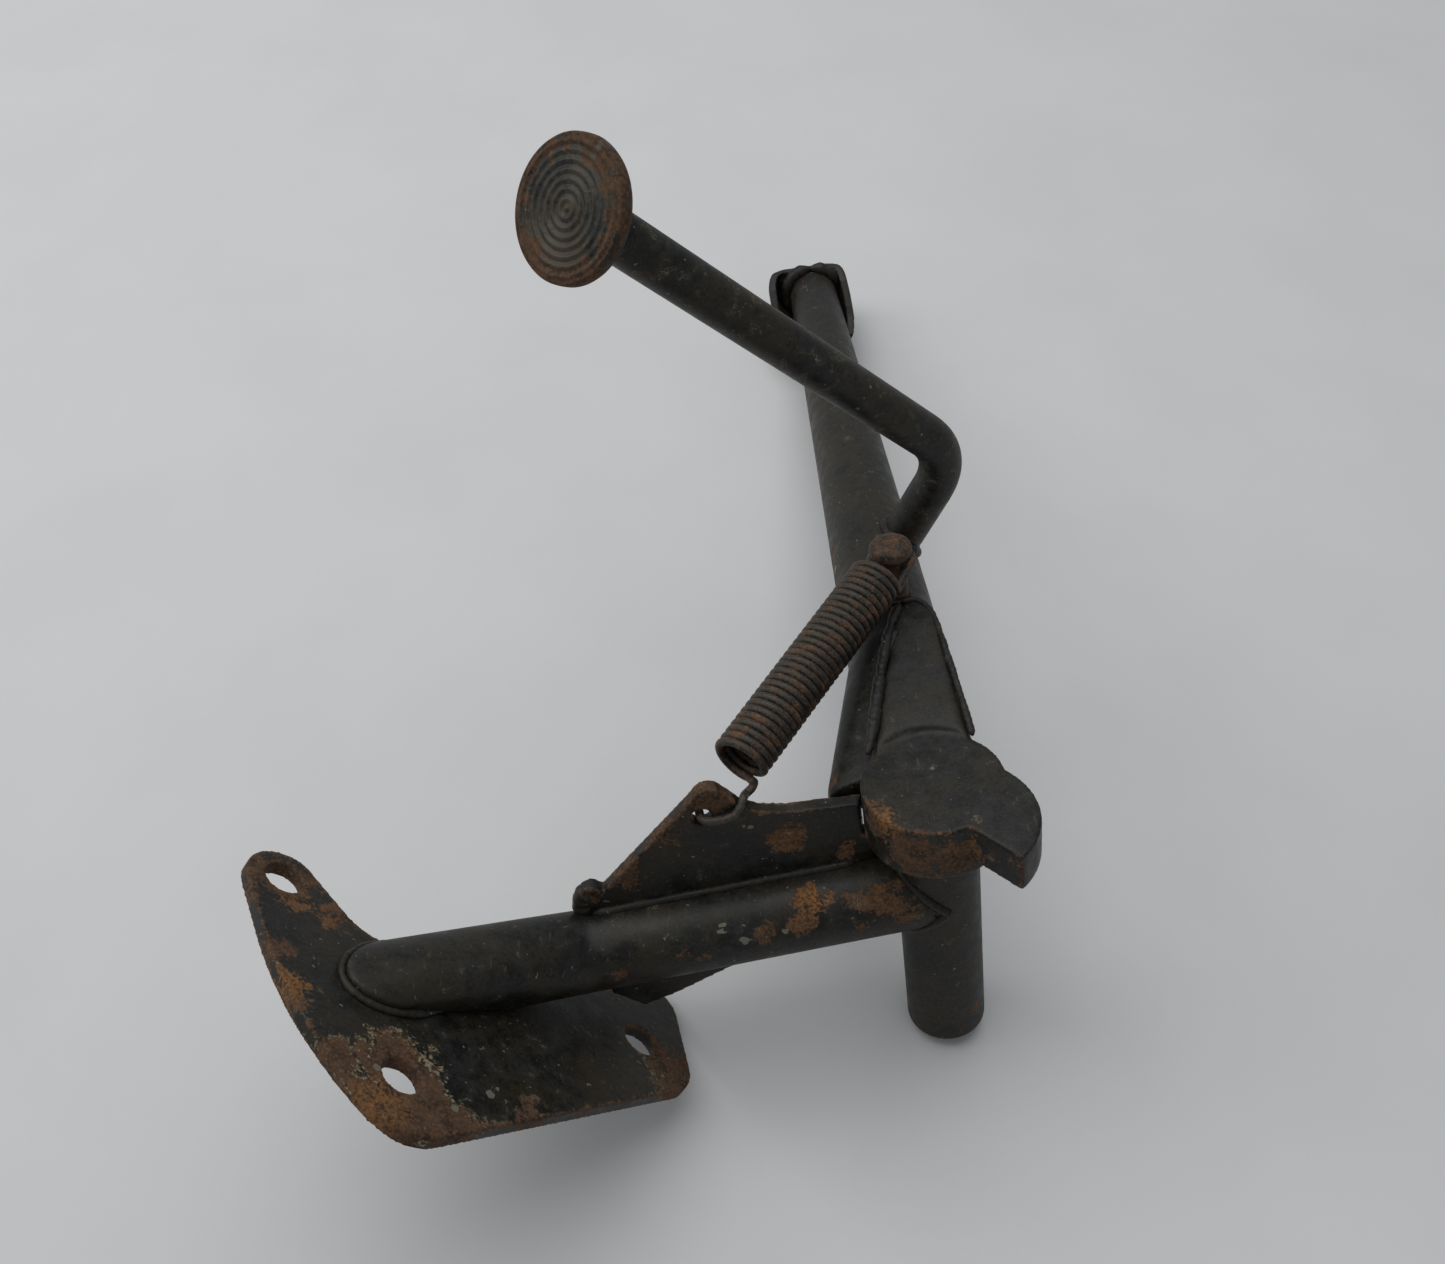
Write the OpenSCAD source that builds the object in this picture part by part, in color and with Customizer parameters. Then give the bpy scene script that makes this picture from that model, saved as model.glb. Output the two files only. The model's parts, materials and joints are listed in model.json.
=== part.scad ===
// Motorcycle side stand: a bolt-on bracket carries a pivot barrel, and a swinging leg with a
// foot operated kick rod turns on a pin in that barrel against one tension spring.
//
// The stand is drawn in its pivot frame: the origin is on the pin's axis where the head sits on
// the barrel, Z runs up the pin and Y runs down the leg. rest_pose() then lays the whole stand
// on a level surface, on the barrel's end, the foot and one corner of the mounting plate.

/* [Mounting plate] */
// Thickness of the plate
plate_t = 4; // [3:0.5:6]
// Diameter of the three bolt holes
bolt_hole_d = 10.5; // [8.5:0.5:12.5]
// Distance from the corner hole to the hole in the ear
hole_span_ear = 64; // [60:1:68]
// Distance from the corner hole to the hole at the far end
hole_span_far = 88.5; // [84:0.5:92]

/* [Bracket tube] */
// Outside diameter of the bracket tube
tube_d = 22.5; // [21:0.5:24]
// Wall of the bracket tube
tube_wall = 3; // [2:0.5:4]
// Depth of the tube's axis below the pivot head
tube_drop = 22; // [21:0.5:24]
// Turn of the tube about the pin
tube_turn = 184.2; // [182:0.2:187]
// Fall of the tube towards the plate
tube_fall = 1.1; // [0:0.1:2]

/* [Spring anchor plate] */
// Thickness of the anchor plate
anchor_t = 4; // [3:0.5:5]
// Diameter of the hole that the spring hooks in
anchor_hole_d = 5.5; // [4.5:0.5:6]

/* [Pivot] */
// Outside diameter of the barrel
barrel_d = 22.5; // [21:0.5:24]
// Distance from the pivot head to the barrel's lower end
barrel_len = 79; // [74:0.5:82]
// Diameter of the pivot pin
pin_d = 12; // [10:0.5:12]
// Radial gap between the pin and its bushes
pin_gap = 0.05; // [0.02:0.01:0.10]
// Radius of the pivot head
head_r = 18.6; // [17:0.2:20]
// Thickness of the pivot head
head_t = 17; // [15:0.5:19]

/* [Leg] */
// Distance from the pin to the end of the leg tube
leg_len = 321.5; // [300:1:350]
// Radius of the leg tube where it becomes round
leg_r_top = 14.5; // [13.5:0.1:15]
// Radius of the leg tube at the foot
leg_r_foot = 10.1; // [9:0.1:11]
// Wall of the leg tube
leg_wall = 2.5; // [2:0.5:3]

/* [Kick rod] */
// Diameter of the kick rod
rod_d = 13; // [12:0.5:14]
// Diameter of the kick pad
pad_d = 34.5; // [32:0.5:38]
// Thickness of the kick pad
pad_t = 4.5; // [4:0.5:6]

/* [Spring] */
// Outside diameter of the coils
spring_d = 16; // [14:0.5:17]
// Diameter of the spring wire
wire_d = 2.4; // [2:0.1:2.8]
// Number of close-wound coils
coil_count = 30; // [26:1:31]

/* [Hidden] */
$fn = 64;

// Lean of the pin in the resting pose, and where the pivot frame's origin then lies
lean_x = -12.766;
lean_y = -6.412;
rest_at = [76.93, -121.79, 78.945];

black = [0.09, 0.09, 0.09];
rusty_black = [0.16, 0.12, 0.10];
rust = [0.32, 0.19, 0.12];
steel = [0.55, 0.55, 0.56];
bronze = [0.62, 0.45, 0.25];

far = 400;
facets = 32;

// Mounting plate frame: origin at the corner hole on the front face, X towards the far hole,
// Y towards the ear and Z out of the face that the tube is welded to
plate_at = [-132.6, -62.2, 6.9];
plate_turn = [18.7, 43.3, 45.6];

// Bracket tube: distance from the pin to where its end is pressed flat
tube_end_s = 95;
gusset_t = 4;

// Anchor plate: how far its middle plane stands from the tube's axis towards the leg, where
// its hole is, and how far its end keeps off the pivot head
anchor_offset = 5;
anchor_hole_at = [60, 37.5];
head_gap = 0.7;

// Barrel bore, bushes and the recess at the lower end
bush_r = 8;
bush_len = 20;
washer_t = 1;
washer_inset = 0.25;
washer_gap = 0.2;
barrel_top = -1.2;
recess_r = 9.3;
recess_top = -67;
recess_gap = 0.2;
retainer_r = 8.8;
groove_r = 5.2;
clip_t = 1.2;
clip_gap = 0.05;
pin_top = 10;
pin_end = -74;
horn_t = 12;

// Leg axis
leg_x = -1.2;
leg_z = 9.8;
leg_fall = 0.8;
round_from = 55;

// Foot shoe: its radius, wall, bottom fillet and depth, and its offset from the leg's axis
shoe_r = 17.2;
shoe_t = 3.2;
shoe_fillet = 7;
shoe_len = 40;
shoe_x = -1.9;
shoe_y = -3.4;

// Kick rod: foot on the leg, corner and pad end, bend radius, and length run on into the pad
rod_foot = [8.3, 109, 17.5];
rod_corner = [24.3, 102.7, 48.7];
rod_end = [-66.3, 58.4, 155.3];
rod_bend_r = 22;
rod_spare = 6;
pad_normal = [-0.588, -0.639, 0.496];

// Spring: the stud's axis on the leg, its foot, top and neck, the height of the eye round it,
// and the distance from the anchor hole to the coils
stud_at = [0.5, 72];
stud_foot = 10;
stud_top = 37.5;
stud_r = 4.5;
hook_z = 35.5;
eye_gap = 0.3;
hook_reach = 16.5;
coil_len = coil_count * wire_d;
hook_past = 1.5;

// ---------------------------------------------------------------- helpers

function arc(c, r, a0, a1, n = 12) =
    [for (i = [0:n]) c + r * [cos(a0 + (a1 - a0) * i / n), sin(a0 + (a1 - a0) * i / n)]];

function unit(v) = v / norm(v);

module rest_pose()
    translate(rest_at) rotate([lean_x, lean_y, 0]) children();

// Turns the Z axis to the direction v
module along(v)
    rotate([0, acos(v.z / norm(v)), atan2(v.y, v.x)]) children();

module rod_between(a, b, d)
    translate(a) along(b - a) cylinder(d = d, h = norm(b - a));

// Frame of the bracket tube: Z runs along its axis from the pin to the plate
module tube_frame()
    translate([0, 0, -tube_drop]) rotate([0, 0, tube_turn]) rotate([0, 90 + tube_fall, 0]) children();

// Frame of the upright plates: X along the bracket tube, Y up the pin, Z towards the leg
module upright_frame(offset = 0)
    translate([0, 0, -tube_drop]) rotate([0, 0, tube_turn]) rotate([90, 0, 0])
        translate([0, 0, offset]) children();

module plate_frame()
    translate(plate_at) rotate(plate_turn) children();

// Everything behind the plate's front face
module behind_plate()
    plate_frame() translate([-far / 2, -far / 2, -far]) cube(far);

// ---------------------------------------------------------------- bracket

// Outline round the corner hole, the far end, its shoulder, the neck and the ear
module plate_outline()
    polygon(concat(
        arc([0.8, -4.6], 13.4, 197, 270, 10),
        arc([89, -5], 13, 270, 331, 8),
        arc([103, 12], 10, 331, 400, 8),
        [[62, 38], [32, 37]],
        arc([28, 54], 16, 262, 185, 6),
        arc([-0.3, hole_span_ear - 0.1], 10, 0, 166, 14),
        arc([85.3, 23.3], 102.8, 166.2, 198, 10)));

module mount_plate()
    color(rusty_black) rest_pose() plate_frame() difference() {
        translate([0, 0, -plate_t]) linear_extrude(plate_t) plate_outline();
        for (p = [[0, 0], [0, hole_span_ear], [hole_span_far, 0]])
            translate([p.x, p.y, -plate_t - 1]) cylinder(d = bolt_hole_d, h = plate_t + 2);
    }

module bracket_tube()
    color(black) rest_pose() difference() {
        tube_frame() difference() {
            cylinder(d = tube_d, h = tube_end_s);
            translate([0, 0, -1]) cylinder(d = tube_d - 2 * tube_wall, h = tube_end_s - 2);
        }
        translate([0, 0, -far / 2]) cylinder(d = barrel_d, h = far);
    }

// The end of the tube, pressed flat and laid on the plate
module tube_end_flare()
    color(black) rest_pose() difference() {
        hull() {
            tube_frame() translate([0, 0, tube_end_s])
                cylinder(d = tube_d, h = 1, $fn = facets);
            plate_frame() translate([16, 28, 0]) scale([1.5, 1, 1])
                cylinder(r = 11, h = 2.5, $fn = facets);
            plate_frame() translate([44, 27, 0]) cylinder(r = 12, h = 1.5, $fn = facets);
        }
        behind_plate();
    }

// Web under the tube, from the plate's edge to the middle of the tube
module plate_gusset()
    color(black) rest_pose() difference() {
        upright_frame() translate([0, 0, -gusset_t / 2]) linear_extrude(gusset_t)
            polygon([[44, -8], [94, -8], [94, -19], [86, -27], [76, -24], [56, -15.5]]);
        tube_frame() cylinder(d = tube_d, h = far);
        behind_plate();
        tube_frame() translate([0, 0, tube_end_s]) cylinder(d = 2 * tube_d, h = far);
    }

// Outline along the tube, up the slanted edge to the peak and along the top to the head
module anchor_outline()
    polygon(concat(
        [[11, 4], [95.5, 4], [96.5, 14]],
        arc([93, 15.5], 3.2, 0, 130, 6),
        [[89.5, 16.5], [62, 43.6]],
        arc([57.4, 42.4], 4.4, 45, 125, 6),
        [[52.5, 43], [49, 38.2], [45, 35.6], [38, 33.6], [30, 33], [14, 31.4], [14, 20.4], [11, 20.4]]));

module spring_anchor_plate()
    color(rusty_black) rest_pose() difference() {
        upright_frame(anchor_offset) translate([0, 0, -anchor_t / 2]) difference() {
            linear_extrude(anchor_t) anchor_outline();
            translate([anchor_hole_at.x, anchor_hole_at.y, -1])
                cylinder(d = anchor_hole_d, h = anchor_t + 2);
        }
        tube_frame() translate([0, 0, -far / 2]) cylinder(d = tube_d, h = far);
        translate([0, 0, -far / 2]) cylinder(d = barrel_d, h = far);
        translate([0, 0, -head_gap - 1]) cylinder(r = head_r + head_gap, h = far);
    }

// ---------------------------------------------------------------- pivot, fixed side

module pivot_barrel()
    color(black) rest_pose() rotate_extrude($fn = 96) polygon(concat(
        [[bush_r, barrel_top], [bush_r, recess_top], [recess_r, recess_top],
         [recess_r, -barrel_len]],
        arc([barrel_d / 2 - 1.8, -barrel_len + 1.8], 1.8, 270, 360, 5),
        [[barrel_d / 2, barrel_top]]));

module bush(top)
    color(bronze) rest_pose() translate([0, 0, top - bush_len]) difference() {
        cylinder(r = bush_r, h = bush_len);
        translate([0, 0, -1]) cylinder(r = pin_d / 2 + pin_gap, h = bush_len + 2);
    }

module upper_bush()
    bush(barrel_top);

module lower_bush()
    bush(recess_top + bush_len);

module thrust_washer()
    color(steel) rest_pose() translate([0, 0, barrel_top]) difference() {
        cylinder(d = barrel_d - 2 * washer_inset, h = washer_t);
        translate([0, 0, -1]) cylinder(r = pin_d / 2 + washer_gap, h = washer_t + 2);
    }

// ---------------------------------------------------------------- pivot, leg side

// Round head with the stop horn on the side away from the bracket tube
module head_outline()
    union() {
        circle(r = head_r, $fn = 96);
        polygon(concat(
            [[6.2, -17.4]],
            arc([4, -13.5], 20.4, -52, 52, 16),
            [[6, 12], [-4, 0]]));
    }

module pivot_head()
    color(rusty_black) rest_pose() difference() {
        union() {
            cylinder(r = head_r, h = head_t, $fn = 96);
            translate([0, 0, head_t - horn_t]) linear_extrude(horn_t) head_outline();
        }
        translate([0, 0, -1]) cylinder(d = pin_d, h = pin_top + 1);
    }

// Frame of the leg: Z runs along its axis from the pin to the foot
module leg_frame()
    translate([leg_x, 0, leg_z]) rotate([-leg_fall, 0, 0]) rotate([-90, 0, 0]) children();

// Outside of the leg where it is round
module leg_cone()
    leg_frame() translate([0, 0, round_from])
        cylinder(r1 = leg_r_top, r2 = leg_r_foot, h = leg_len - round_from);

// The leg's flattened upper end, from where it turns round to the pivot head
module leg_hull()
    hull() {
        leg_frame() translate([0, 0, round_from - 1])
            cylinder(r = 1.01 * leg_r_top, h = 1, $fn = facets);
        for (p = [[-22.5, 4.6, 4.5], [9.5, 4.4, 4.2], [-5, 8.2, 7.5]])
            translate([p.x, 9, p.y]) rotate([-90, 0, 0]) cylinder(r = p.z, h = 3, $fn = facets);
    }

// Strap that runs from the head up the top of the leg
module tongue_hull()
    hull() {
        for (x = [-12, 10])
            translate([x, 9, head_t - 3]) rotate([-90, 0, 0]) cylinder(r = 3, h = 2, $fn = facets);
        for (x = [-8.5, 9])
            translate([x, 24, 17]) rotate([-90, 0, 0]) cylinder(r = 2.8, h = 2, $fn = facets);
        translate([5.3, 62, 14]) cylinder(r = 4.8, h = 9.8, $fn = facets);
    }

module head_tongue()
    color(black) rest_pose() difference() {
        tongue_hull();
        translate([0, 0, -1]) cylinder(r = head_r, h = far, $fn = 96);
    }

module leg_tube()
    color(black) rest_pose() difference() {
        union() {
            leg_hull();
            leg_cone();
        }
        leg_frame() translate([0, 0, round_from - 20]) cylinder(
            r1 = leg_r_top - leg_wall, r2 = leg_r_foot - leg_wall, h = leg_len - round_from + 21);
        tongue_hull();
        translate([0, 0, -far / 2]) cylinder(r = head_r, h = far, $fn = 96);
        horn_space();
    }

// Keeps the leg tube clear of the horn
module horn_space()
    translate([0, 0, head_t - horn_t]) linear_extrude(horn_t + 10) head_outline();

module pivot_pin()
    color(steel) rest_pose() rotate_extrude($fn = 96) polygon([
        [0, pin_top], [pin_d / 2, pin_top],
        [pin_d / 2, recess_top - recess_gap - clip_t], [groove_r, recess_top - recess_gap - clip_t],
        [groove_r, recess_top - 2 * recess_gap - 2 * clip_t],
        [pin_d / 2, recess_top - 2 * recess_gap - 2 * clip_t],
        [pin_d / 2, pin_end + 1], [pin_d / 2 - 1, pin_end], [0, pin_end]]);

module retaining_washer()
    color(steel) rest_pose() translate([0, 0, recess_top - recess_gap - clip_t]) difference() {
        cylinder(r = retainer_r, h = clip_t);
        translate([0, 0, -1]) cylinder(r = pin_d / 2 + washer_gap / 2, h = clip_t + 2);
    }

module circlip()
    color(steel) rest_pose() translate([0, 0, recess_top - 1.5 * recess_gap - 2 * clip_t])
        difference() {
            cylinder(r = bush_r, h = clip_t);
            translate([0, 0, -1]) cylinder(r = groove_r + clip_gap, h = clip_t + 2);
            translate([0, 0, -1]) linear_extrude(clip_t + 2)
                polygon([[0, 0], [far, -0.3 * far], [far, 0.3 * far]]);
        }

// ---------------------------------------------------------------- foot

// Cup round the end of the leg, cut away above the tube
module foot_shoe()
    color(black) rest_pose() difference() {
        leg_frame() translate([shoe_x, shoe_y, leg_len - shoe_len]) intersection() {
            rotate_extrude() polygon(concat(
                [[shoe_r - shoe_t, 0], [shoe_r, 0]],
                arc([shoe_r - shoe_fillet, shoe_len + shoe_t - shoe_fillet], shoe_fillet, 0, 90, 6),
                [[0, shoe_len + shoe_t], [0, shoe_len]],
                arc([shoe_r - shoe_fillet, shoe_len + shoe_t - shoe_fillet],
                    shoe_fillet - shoe_t, 90, 0, 6)));
            rotate([0, -90, 0]) linear_extrude(far, center = true) polygon([
                [-1, 8], [8, 3], [shoe_len - 8, -2.5], [shoe_len - 1, -7],
                [shoe_len + 4, -7], [shoe_len + 4, 30], [-1, 30]]);
        }
        leg_cone();
    }

// ---------------------------------------------------------------- kick rod and pad

// Round bar with one bend: two straights and the arc between them
module kick_rod()
    color(black) rest_pose() difference() {
        bent_rod();
        leg_cone();
        pad_frame() cylinder(r = far / 4, h = far);
    }

// The bend lies in its own plane about its centre, with a straight off each end of the arc
module bent_rod() {
    to_foot = unit(rod_foot - rod_corner);
    to_end = unit(rod_end - rod_corner);
    half = acos(to_foot * to_end) / 2;
    setback = rod_bend_r / tan(half);
    centre = rod_corner + unit(to_foot + to_end) * rod_bend_r / sin(half);
    p = unit(rod_corner + to_foot * setback - centre);
    q = unit(rod_corner + to_end * setback - centre);
    n = unit(cross(p, q));
    r = cross(n, p);
    turn = 180 - 2 * half;
    translate(centre) rotate([atan2(r.z, n.z), asin(-p.z), atan2(p.y, p.x)]) {
        rotate_extrude(angle = turn) translate([rod_bend_r, 0]) circle(d = rod_d - 0.1);
        translate([rod_bend_r, 0, 0]) rotate([90, 0, 0])
            cylinder(d = rod_d, h = norm(rod_foot - rod_corner) - setback);
        rotate([0, 0, turn]) translate([rod_bend_r, 0, 0]) rotate([-90, 0, 0])
            cylinder(d = rod_d, h = norm(rod_end - rod_corner) - setback + rod_spare);
    }
}

module pad_frame()
    translate(rod_end) along(pad_normal) children();

module kick_pad()
    color(rusty_black) rest_pose() pad_frame() rotate_extrude($fn = 96) polygon(concat(
        [[0, 0], [pad_d / 2 - 1, 0], [pad_d / 2, 1], [pad_d / 2, pad_t - 0.8],
         [pad_d / 2 - 0.8, pad_t]],
        [for (i = [0:7]) let (r = pad_d / 2 - 2.2 - 2 * i)
            each [[r, pad_t], [r - 0.5, pad_t - 0.5], [r - 1, pad_t]]],
        [[0, pad_t]]));

// ---------------------------------------------------------------- spring and its stud

module spring_stud()
    color(rusty_black) rest_pose() difference() {
        translate([stud_at.x, stud_at.y, stud_foot])
            cylinder(r = stud_r, h = stud_top - stud_foot);
        leg_hull();
        leg_cone();
        tongue_hull();
    }

module stud_head()
    color(rust) rest_pose() translate([stud_at.x, stud_at.y, stud_top])
        rotate_extrude() polygon(concat(
            [[0, 0], [5.8, 0], [6.2, 0.6], [6.2, 2.4]],
            arc([2.6, 1.6], 3.6, 12, 90, 6), [[0, 5.2]]));

anchor_point = [-anchor_hole_at.x * cos(tube_turn - 180) - anchor_offset * sin(tube_turn - 180),
                -anchor_hole_at.x * sin(tube_turn - 180) + anchor_offset * cos(tube_turn - 180),
                anchor_hole_at.y - tube_drop];
stud_point = [stud_at.x, stud_at.y, hook_z];
spring_dir = unit(stud_point - anchor_point);
through_hole = [-sin(tube_turn - 180), cos(tube_turn - 180), 0];
coil_from = anchor_point + spring_dir * hook_reach;

module spring_coils()
    color(rust) rest_pose() translate(coil_from) along(spring_dir) difference() {
        cylinder(d = spring_d, h = coil_len);
        translate([0, 0, -1]) cylinder(d = spring_d - 2 * wire_d, h = coil_len + 2);
    }

// The wire comes down behind the anchor plate, then goes through its hole
hook_turn = anchor_point + through_hole * (anchor_t / 2 + wire_d);
hook_tip = anchor_point - through_hole * (anchor_t / 2 + hook_past);

module spring_lower_hook()
    color(rust) rest_pose() {
        rod_between(coil_from, hook_turn, wire_d);
        translate(hook_turn) sphere(d = 1.2 * wire_d);
        rod_between(hook_turn, hook_tip, wire_d);
    }

// The wire's other end: an eye round the neck of the stud, touching the last coil
module spring_upper_hook()
    color(rust) rest_pose() translate(stud_point) rotate_extrude()
        translate([stud_r + eye_gap + wire_d / 2, 0]) circle(d = wire_d);

mount_plate();
bracket_tube();
tube_end_flare();
plate_gusset();
spring_anchor_plate();
pivot_barrel();
upper_bush();
lower_bush();
thrust_washer();
pivot_head();
head_tongue();
pivot_pin();
retaining_washer();
circlip();
leg_tube();
foot_shoe();
kick_rod();
kick_pad();
spring_stud();
stud_head();
spring_coils();
spring_lower_hook();
spring_upper_hook();
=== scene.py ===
import json
import math

import bmesh
import bpy
import numpy as np
from mathutils import Matrix, Vector, kdtree, noise


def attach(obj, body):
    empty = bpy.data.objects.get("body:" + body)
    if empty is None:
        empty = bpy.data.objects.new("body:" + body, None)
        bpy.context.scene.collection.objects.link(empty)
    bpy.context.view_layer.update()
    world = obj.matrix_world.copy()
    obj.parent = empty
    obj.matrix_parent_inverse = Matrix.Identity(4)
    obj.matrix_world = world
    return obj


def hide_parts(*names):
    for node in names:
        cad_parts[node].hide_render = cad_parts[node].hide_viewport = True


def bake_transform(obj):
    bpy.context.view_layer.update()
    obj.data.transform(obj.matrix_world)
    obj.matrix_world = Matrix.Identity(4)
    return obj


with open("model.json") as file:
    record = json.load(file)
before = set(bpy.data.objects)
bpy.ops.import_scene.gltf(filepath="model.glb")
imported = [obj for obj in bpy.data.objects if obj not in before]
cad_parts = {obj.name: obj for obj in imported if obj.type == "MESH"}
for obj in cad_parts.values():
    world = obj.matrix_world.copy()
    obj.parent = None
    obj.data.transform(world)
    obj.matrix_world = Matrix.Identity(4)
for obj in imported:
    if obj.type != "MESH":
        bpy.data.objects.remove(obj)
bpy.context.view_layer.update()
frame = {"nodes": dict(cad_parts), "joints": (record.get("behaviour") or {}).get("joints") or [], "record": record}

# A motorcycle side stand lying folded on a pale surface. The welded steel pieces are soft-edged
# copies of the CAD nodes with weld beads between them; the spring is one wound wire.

scene = bpy.context.scene
MM = 0.001

# ------------------------------------------------------------------ frames to place pieces in

# Pivot frame: origin on the pin's axis under the head, Z up the pin, Y down the leg, in mm
leg_pivot = next(j for j in frame["joints"] if j["name"] == "leg_pivot")
spring_swing = next(j for j in frame["joints"] if j["name"] == "spring_swing")
pin_axis = Vector(leg_pivot["axis"])
lean_x = -math.asin(pin_axis.y)
lean_y = math.atan2(pin_axis.x, pin_axis.z)
LEAN = Matrix.Rotation(lean_y, 4, "Y") @ Matrix.Rotation(lean_x, 4, "X")
PIVOT = Matrix.Translation(leg_pivot["pos_m"]) @ LEAN @ Matrix.Scale(MM, 4)


def at(x, y, z):
    """A point of the pivot frame, in mm."""
    return PIVOT @ Vector((x, y, z))


# Bracket tube: drop below the head, turn about the pin, fall towards the plate, radius
TUBE_DROP, TUBE_TURN, TUBE_FALL, TUBE_R = 22.0, math.radians(4.2), math.radians(1.1), 11.25


def upright(s, h, w=0.0):
    """s mm along the bracket tube from the pin, h above its axis at the pin, w towards the leg."""
    c, q = math.cos(TUBE_TURN), math.sin(TUBE_TURN)
    return at(-s * c - w * q, -s * q + w * c, h - TUBE_DROP)


def on_tube(s, angle, r=TUBE_R):
    """A point on the bracket tube. Angle 0 is its top and 90 degrees its side away from the leg."""
    a = math.radians(angle)
    return upright(s, r * math.cos(a) - s * math.tan(TUBE_FALL), -r * math.sin(a))


# Mounting plate: origin at the corner hole, X to the far hole, Y to the ear, Z out of the front
mounts = {m["name"]: m for m in frame["record"]["mounts"]}
hole = {k: Vector(mounts["bolt_hole_" + k]["pos_m"]) for k in ("corner", "ear", "far")}
plate_x = (hole["far"] - hole["corner"]).normalized()
plate_z = plate_x.cross(hole["ear"] - hole["corner"]).normalized()
plate_y = plate_z.cross(plate_x)
PLATE_T = mounts["bolt_hole_corner"]["dims"]["length_mm"]


def plate(u, v, w=0.0):
    """A point over the front face of the mounting plate, in mm."""
    return hole["corner"] + (plate_x * u + plate_y * v + plate_z * (w + PLATE_T / 2)) * MM


# Leg: axis offset, height and fall, and its radius from where it turns round to the foot
LEG_X, LEG_Z, LEG_FALL = -1.2, 9.8, math.radians(0.8)
LEG_ROUND, LEG_LEN, LEG_R = 55.0, 321.5, (14.5, 10.1)


def leg_radius(y):
    t = (y - LEG_ROUND) / (LEG_LEN - LEG_ROUND)
    return LEG_R[0] + (LEG_R[1] - LEG_R[0]) * t


def on_leg(y, angle, r=None):
    """A point on the leg tube. Angle 0 is its top and 90 degrees the side away from the plate."""
    a = math.radians(angle)
    r = leg_radius(y) if r is None else r
    return at(LEG_X + r * math.sin(a), y, LEG_Z - y * math.tan(LEG_FALL) + r * math.cos(a))


# ------------------------------------------------------------------ mesh helpers

SIDES = 12          # of every swept tube
BEAD_STEP = 0.45    # mm between the rings of a weld bead
RIPPLE_PITCH = 2.3  # mm between its ripples
EDGE_ANGLE = 35     # degrees from which an edge of the CAD counts as sharp
EDGE_STEP = 0.7     # mm between the points taken along such an edge
WEAR_WIDTH = 1.1    # mm that wear reaches from it


def new_object(name, mesh):
    obj = bpy.data.objects.new(name, mesh)
    scene.collection.objects.link(obj)
    return obj


def shade_smooth(mesh):
    mesh.polygons.foreach_set("use_smooth", [True] * len(mesh.polygons))


def sweep(name, points, radii):
    """A closed tube along points, with a radius at each."""
    points = [Vector(p) for p in points]
    bm = bmesh.new()
    side = None
    rings = []
    for i, p in enumerate(points):
        ahead = (points[min(i + 1, len(points) - 1)] - points[max(i - 1, 0)]).normalized()
        if side is None:
            side = ahead.orthogonal().normalized()
        side = (side - ahead * side.dot(ahead)).normalized()
        up = ahead.cross(side)
        ring = []
        for k in range(SIDES):
            a = 2 * math.pi * k / SIDES
            ring.append(bm.verts.new(p + (side * math.cos(a) + up * math.sin(a)) * radii[i]))
        rings.append(ring)
    for a, b in zip(rings, rings[1:]):
        for k in range(SIDES):
            bm.faces.new((a[k], a[(k + 1) % SIDES], b[(k + 1) % SIDES], b[k]))
    bm.faces.new(rings[0][::-1])
    bm.faces.new(rings[-1])
    bmesh.ops.recalc_face_normals(bm, faces=bm.faces)
    mesh = bpy.data.meshes.new(name)
    bm.to_mesh(mesh)
    bm.free()
    shade_smooth(mesh)
    return new_object(name, mesh)


def lathe(name, profile, frame_matrix, segments=96):
    """A solid turned about Z from (radius, height) points that start and end on the axis."""
    bm = bmesh.new()
    rings = []
    for r, z in profile:
        if r < 1e-6:
            rings.append([bm.verts.new((0, 0, z))])
            continue
        turn = [2 * math.pi * k / segments for k in range(segments)]
        rings.append([bm.verts.new((r * math.cos(a), r * math.sin(a), z)) for a in turn])
    for a, b in zip(rings, rings[1:]):
        for k in range(segments):
            n = (k + 1) % segments
            corners = [a[k % len(a)], a[n % len(a)], b[n % len(b)], b[k % len(b)]]
            bm.faces.new(list(dict.fromkeys(corners)))
    bmesh.ops.recalc_face_normals(bm, faces=bm.faces)
    mesh = bpy.data.meshes.new(name)
    bm.to_mesh(mesh)
    bm.free()
    mesh.transform(frame_matrix)
    shade_smooth(mesh)
    return new_object(name, mesh)


def through(points, steps=6):
    """A smooth curve through the points (Catmull-Rom)."""
    p = [Vector(q) for q in points]
    p = [p[0] * 2 - p[1]] + p + [p[-1] * 2 - p[-2]]
    out = []
    for i in range(1, len(p) - 2):
        for k in range(steps):
            t = k / steps
            out.append(0.5 * (2 * p[i] + (p[i + 1] - p[i - 1]) * t
                              + (2 * p[i - 1] - 5 * p[i] + 4 * p[i + 1] - p[i + 2]) * t ** 2
                              + (3 * p[i] - p[i - 1] - 3 * p[i + 1] + p[i + 2]) * t ** 3))
    return out + [p[-2]]


def even(points, step):
    """The same line with points a step apart."""
    out, left = [points[0]], step
    for a, b in zip(points, points[1:]):
        length = (b - a).length
        d = left
        while d <= length:
            out.append(a.lerp(b, d / length))
            d += step
        left = d - length
    return out


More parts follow.
